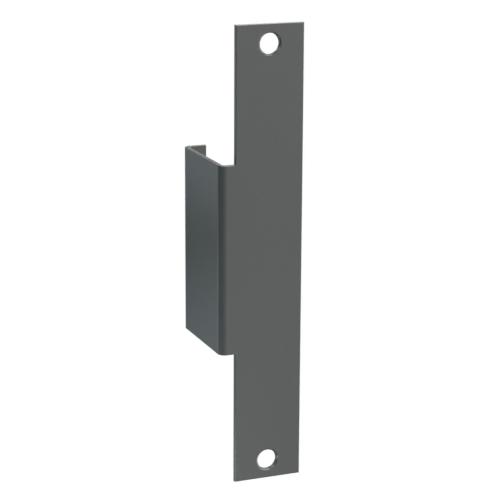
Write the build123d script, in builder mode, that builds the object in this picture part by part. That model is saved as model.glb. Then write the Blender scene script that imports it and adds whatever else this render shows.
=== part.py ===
from build123d import *
import os

# Electric strike filler plate.
# It closes the cut-out that an electric strike leaves in a steel door frame. It is one piece of sheet steel:
# a long face plate with a countersunk screw hole at each end, and a flange that leaves the middle of its
# left edge level with the face, folds back round the corner of the frame and ends in a return lip.
# Millimetres. +X runs across the face to the right, +Y goes back into the frame and +Z is up.
# The origin is on the back of the face plate, half-way between the two screws.

INCH = 25.4

# Sheet
sheet_thickness = 3 / 32 * INCH
bend_inside_radius = 3 / 64 * INCH
edge_roll = 0.4  # rounding that the punch leaves along the outer side of the cut edges
burr_break = 0.2  # smaller rounding along their inner side
notch_radius = 0.3  # inside corners, where the flange leaves the plate

# Face plate
plate_width = 1.375 * INCH
plate_height = 9 * INCH

# Screw holes
hole_from_end = 3 / 8 * INCH  # from the plate's end to the hole's centre
hole_radius = 5.1
countersink_radius = 5.7
countersink_angle = 82
rim_round = 0.4  # softened edge where the countersink meets the face

# Flange
flange_height = 94.8  # a little under 3-3/4 in, so that it goes into the cut-out
tab_reach = 5 / 16 * INCH  # from the plate's edge to the outside of the side wall
flange_depth = 2.0625 * INCH  # from the face to the outside of the return lip
lip_length = 11.7  # from the outside of the side wall to the lip's free edge

# Places, those of the flange on the outside of the folded sheet
hole_spacing = plate_height - 2 * hole_from_end
face_front = -sheet_thickness
wall_outside = -plate_width / 2 - tab_reach
lip_outside = face_front + flange_depth
lip_end = wall_outside + lip_length
bend_outside_radius = bend_inside_radius + sheet_thickness
same_size = 0.001


def crossing_edges():
    """The edges that cross the sheet's thickness, shorter than all others that run the same way."""
    return filler_plate.edges().filter_by(Axis.Y).group_by(SortBy.LENGTH)[0]


def bends(radius):
    """The curved faces of both bends, on the side of the sheet that has this radius."""
    curved = filler_plate.faces().filter_by(GeomType.CYLINDER)
    upright = curved.filter_by(lambda face: face.axis_of_rotation.is_parallel(Axis.Z))
    return upright.filter_by(lambda face: abs(face.radius - radius) < same_size)


def sheet_sides():
    """The outer and the inner side of the folded sheet, each a list of faces that touch."""
    front, seat, lip_inner, lip_outer = filler_plate.faces().filter_by(Axis.Y).sort_by(Axis.Y)
    wall_outer, wall_inner = filler_plate.faces().filter_by(Axis.X).sort_by(Axis.X)[:2]
    outer = [front, wall_outer, lip_outer, *bends(bend_outside_radius)]
    inner = [seat, wall_inner, lip_inner, *bends(bend_inside_radius)]
    return outer, inner


def rim(side):
    """The cut edge round one side of the sheet: the edges that only one of its faces has."""
    edges = [edge for face in side for edge in face.outer_wire().edges()]
    return [edge for edge in edges if sum(edge.is_same(other) for other in edges) == 1]


with BuildPart() as filler_plate:
    # Face plate, from its back forwards
    with BuildSketch(Plane.XZ):
        Rectangle(plate_width, plate_height)
    extrude(amount=sheet_thickness)

    # Flange: the outside of the sheet runs along the face, round the first bend, back along the side wall
    # and round the second bend to the lip
    with BuildSketch(Plane.XY.offset(-flange_height / 2)):
        with BuildLine():
            FilletPolyline(
                (0, face_front),
                (wall_outside, face_front),
                (wall_outside, lip_outside),
                (lip_end, lip_outside),
                radius=bend_outside_radius,
            )
            offset(amount=sheet_thickness, side=Side.RIGHT)
        make_face()
    extrude(amount=flange_height)

    # Inside corners of the blank; the outside ones stay square, as they are sheared
    fillet(crossing_edges().filter_by(Edge.is_interior), notch_radius)

    # Screw holes, countersunk from the face
    with Locations(Plane.XZ.offset(sheet_thickness)):
        with GridLocations(0, hole_spacing, 1, 2):
            CounterSinkHole(hole_radius, countersink_radius, counter_sink_angle=countersink_angle)
    circles = filler_plate.edges().filter_by(GeomType.CIRCLE)
    fillet(circles.filter_by(lambda edge: abs(edge.radius - countersink_radius) < same_size), rim_round)

    # Cut edges: rolled over along the outer side, a lighter break along the inner side
    outer_side, _ = sheet_sides()
    fillet(rim(outer_side), edge_roll)
    _, inner_side = sheet_sides()
    fillet(rim(inner_side), burr_break)

filler_plate.part.label = "filler_plate"
os.makedirs("parts", exist_ok=True)
export_step(filler_plate.part, "parts/filler_plate.step")
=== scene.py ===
import bpy
from math import cos, pi, radians, sin
from mathutils import Matrix, Vector


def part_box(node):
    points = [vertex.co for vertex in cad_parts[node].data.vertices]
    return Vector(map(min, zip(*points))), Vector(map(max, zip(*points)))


# The looks of an electric strike filler plate: one folded piece of sheet steel with a satin grey prime coat.
# Metres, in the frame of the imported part: +X runs across the face to the right, +Y goes back into the door
# frame and +Z is up. Directions are azimuths, 0 behind the plate, 90 to its right and 180 in front of it, and
# elevations, both in degrees.

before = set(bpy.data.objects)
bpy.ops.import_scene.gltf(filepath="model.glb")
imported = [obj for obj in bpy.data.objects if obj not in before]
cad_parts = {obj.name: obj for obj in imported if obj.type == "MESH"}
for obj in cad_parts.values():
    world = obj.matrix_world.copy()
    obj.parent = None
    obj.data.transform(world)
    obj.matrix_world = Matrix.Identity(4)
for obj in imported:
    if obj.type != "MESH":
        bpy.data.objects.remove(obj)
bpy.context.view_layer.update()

# Prime coat: its colour, the sizes of what varies in it, the ranges of its tone and roughness, and the depths
# of its relief
PRIMER = (0.078, 0.080, 0.0775)
PASS_SIZE = 0.045
PASS_STRETCH = (1, 1, 0.4)
MOTTLE_SIZE = 0.0022
DRY_SPOT_SIZE = 0.006
PEEL_SIZE = 0.0012
GRAIN_SIZE = 0.00022
PASS_TONES = (0.985, 1.015)
MOTTLE_TONES = (0.97, 1.03)
ROUGHNESSES = (0.225, 0.27)
PEEL_DEPTH = 0.000006
GRAIN_DEPTH = 0.0000025
NOISE_MIDDLE = (0.3, 0.7)  # most of a noise lies between these values

# Camera, as the photograph was taken: where it aims on the face of the plate, and from where
FACE_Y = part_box("filler_plate")[0].y
AIM = Vector((-0.009915, FACE_Y, 0.004977))
DISTANCE = 0.87312
HEADING = 21.942
LOOKING_DOWN = 14.824
ROLL = 0.253
SENSOR = 36.0
FOCAL_LENGTH = 129.79
CLIP_END = 100.0

# Studio: soft round lights, each at an azimuth, an elevation and a distance, with its diameter, radiance and
# colour, in a dim even surrounding with a white floor and backdrop
NEUTRAL = (1.0, 1.0, 1.0)
COOL = (0.88, 1.0, 1.05)
SOFTBOXES = {
    "key_level": (120, 8, 1.5, 0.75, 15, NEUTRAL),
    "key_high": (120, 38, 1.5, 0.8, 4.6, NEUTRAL),
    "key_low": (105, -28, 1.5, 0.8, 11, NEUTRAL),
    "front_high": (135, 38, 1.5, 0.8, 5.2, NEUTRAL),
    "front_steep": (150, 62, 1.5, 0.8, 4.2, NEUTRAL),
    "rear_right": (30, 8, 1.5, 0.75, 0.48, NEUTRAL),
    "rear_left": (345, 24, 1.5, 0.5, 1.7, COOL),
    "rear_low": (330, -28, 1.5, 0.8, 0.43, COOL),
    "rear_level": (0, 0, 1.5, 0.7, 1.5, NEUTRAL),
    "rear_steep": (15, 62, 1.5, 0.8, 9, NEUTRAL),
    "near_rear_right": (30, 15, 0.4, 0.16, 0.8, NEUTRAL),
    "near_rear_right_high": (30, 45, 0.4, 0.16, 7.5, NEUTRAL),
    "near_front_high": (210, 40, 0.4, 0.16, 3.9, COOL),
    "near_left_high": (240, 40, 0.4, 0.16, 3.2, COOL),
    "near_front_low": (225, -50, 0.22, 0.08, 7.8, COOL),
    "near_left_low": (270, -40, 0.4, 0.16, 5.5, COOL),
    "near_left_rear": (315, -20, 0.4, 0.16, 0.65, COOL),
    "near_rear_left": (330, 0, 0.4, 0.16, 0.53, COOL),
}
AMBIENT = (0.095, 0.106, 0.109)
WHITE = (1.0, 1.0, 1.0)
FLOOR_Z = -0.40
FLOOR_SIZE = 30.0


def direction(azimuth, elevation):
    """The unit vector that points this way."""
    azimuth, elevation = radians(azimuth), radians(elevation)
    return Vector((sin(azimuth) * cos(elevation), cos(azimuth) * cos(elevation), sin(elevation)))


def add(name, data, place, turn):
    """An object with this data in the scene, at this place and turned by this matrix."""
    thing = bpy.data.objects.new(name, data)
    thing.matrix_world = Matrix.Translation(place) @ turn.to_4x4()
    bpy.context.scene.collection.objects.link(thing)
    return thing


def make_prime_coat():
    """Grey primer, sprayed thin: satin, with fine orange peel and a slow drift in its tone and gloss."""
    material = bpy.data.materials.new("prime_coat")
    material.use_nodes = True
    nodes, links = material.node_tree.nodes, material.node_tree.links
    shader = nodes["Principled BSDF"]
    place = nodes.new("ShaderNodeTexCoord").outputs["Object"]

    def noise(size, detail, coarseness, stretch=(1, 1, 1)):
        """Noise with features of this size, and finer ones as its detail and coarseness say."""
        mapping = nodes.new("ShaderNodeMapping")
        mapping.inputs["Scale"].default_value = stretch
        links.new(place, mapping.inputs["Vector"])
        texture = nodes.new("ShaderNodeTexNoise")
        texture.inputs["Scale"].default_value = 1 / size
        texture.inputs["Detail"].default_value = detail
        texture.inputs["Roughness"].default_value = coarseness
        links.new(mapping.outputs["Vector"], texture.inputs["Vector"])
        return texture.outputs["Fac"]

    def spread(value, lowest, highest):
        """The middle of a noise's range, spread from lowest to highest."""
        curve = nodes.new("ShaderNodeMapRange")
        limits = (*NOISE_MIDDLE, lowest, highest)
        for limit, socket in zip(limits, ("From Min", "From Max", "To Min", "To Max")):
            curve.inputs[socket].default_value = limit
        links.new(value, curve.inputs["Value"])
        return curve.outputs["Result"]

    def bump(height, depth):
        """A bump node that turns this height into relief of this depth."""
        node = nodes.new("ShaderNodeBump")
        node.inputs["Strength"].default_value = 1.0
        node.inputs["Distance"].default_value = depth
        links.new(height, node.inputs["Height"])
        return node

    # Tone: the coat is a little thinner and darker in slow passes of the spray gun, with faint fine mottling
    passes = noise(PASS_SIZE, detail=2, coarseness=0.5, stretch=PASS_STRETCH)
    mottling = noise(MOTTLE_SIZE, detail=3, coarseness=0.6)
    both = nodes.new("ShaderNodeMath")
    both.operation = "MULTIPLY"
    links.new(spread(passes, *PASS_TONES), both.inputs[0])
    links.new(spread(mottling, *MOTTLE_TONES), both.inputs[1])
    tone = nodes.new("ShaderNodeVectorMath")
    tone.operation = "SCALE"
    tone.inputs[0].default_value = PRIMER
    links.new(both.outputs["Value"], tone.inputs["Scale"])
    links.new(tone.outputs["Vector"], shader.inputs["Base Color"])

    # Gloss: drier spots scatter the light more
    dryness = noise(DRY_SPOT_SIZE, detail=4, coarseness=0.6)
    links.new(spread(dryness, *ROUGHNESSES), shader.inputs["Roughness"])

    # Relief: the grain of the pigment over orange peel a millimetre wide
    peel = bump(noise(PEEL_SIZE, detail=2, coarseness=0.5), PEEL_DEPTH)
    grain = bump(noise(GRAIN_SIZE, detail=2, coarseness=0.6), GRAIN_DEPTH)
    links.new(peel.outputs["Normal"], grain.inputs["Normal"])
    links.new(grain.outputs["Normal"], shader.inputs["Normal"])
    return material


def make_camera():
    forward = direction(HEADING, -LOOKING_DOWN)
    level = forward.cross(Vector((0, 0, 1))).normalized()
    upright = level.cross(forward)
    roll = radians(ROLL)
    right = cos(roll) * level + sin(roll) * upright
    up = cos(roll) * upright - sin(roll) * level
    data = bpy.data.cameras.new("camera")
    data.sensor_width = SENSOR
    data.lens = FOCAL_LENGTH
    data.clip_end = CLIP_END
    turn = Matrix((right, up, -forward)).transposed()
    bpy.context.scene.camera = add("camera", data, AIM - DISTANCE * forward, turn)


def make_world():
    """White where the camera sees it, and a dim even light on the plate."""
    world = bpy.data.worlds.new("studio")
    world.use_nodes = True
    nodes, links = world.node_tree.nodes, world.node_tree.links
    ambient = nodes["Background"]
    ambient.inputs["Color"].default_value = (*AMBIENT, 1)
    backdrop = nodes.new("ShaderNodeBackground")
    backdrop.inputs["Color"].default_value = (*WHITE, 1)
    seen = nodes.new("ShaderNodeLightPath")
    choice = nodes.new("ShaderNodeMixShader")
    links.new(seen.outputs["Is Camera Ray"], choice.inputs["Fac"])
    links.new(ambient.outputs["Background"], choice.inputs[1])
    links.new(backdrop.outputs["Background"], choice.inputs[2])
    links.new(choice.outputs["Shader"], nodes["World Output"].inputs["Surface"])
    bpy.context.scene.world = world


def make_floor():
    """As white as the backdrop, with no light or shadow of its own on the plate."""
    bpy.ops.mesh.primitive_plane_add(size=FLOOR_SIZE, location=(0, 0, FLOOR_Z))
    floor = bpy.context.object
    floor.name = "floor"
    material = bpy.data.materials.new("floor")
    material.use_nodes = True
    shader = material.node_tree.nodes["Principled BSDF"]
    shader.inputs["Base Color"].default_value = (0, 0, 0, 1)
    shader.inputs["Specular IOR Level"].default_value = 0
    shader.inputs["Emission Color"].default_value = (*WHITE, 1)
    shader.inputs["Emission Strength"].default_value = 1
    floor.data.materials.append(material)
    floor.visible_diffuse = False
    floor.visible_glossy = False
    floor.visible_shadow = False


def make_softbox(name, azimuth, elevation, distance, diameter, radiance, colour):
    """A round soft light that faces the plate and that the camera does not see."""
    outward = direction(azimuth, elevation)
    data = bpy.data.lights.new(name, "AREA")
    data.shape = "DISK"
    data.size = diameter
    data.energy = radiance * pi * pi * diameter ** 2 / 4
    data.color = colour
    lamp = add(name, data, distance * outward, outward.to_track_quat("Z", "Y").to_matrix())
    lamp.visible_camera = False


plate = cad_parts["filler_plate"]
plate.data.materials.clear()
plate.data.materials.append(make_prime_coat())
make_camera()
make_world()
make_floor()
for name, values in SOFTBOXES.items():
    make_softbox(name, *values)
bpy.context.scene.view_settings.view_transform = "Standard"
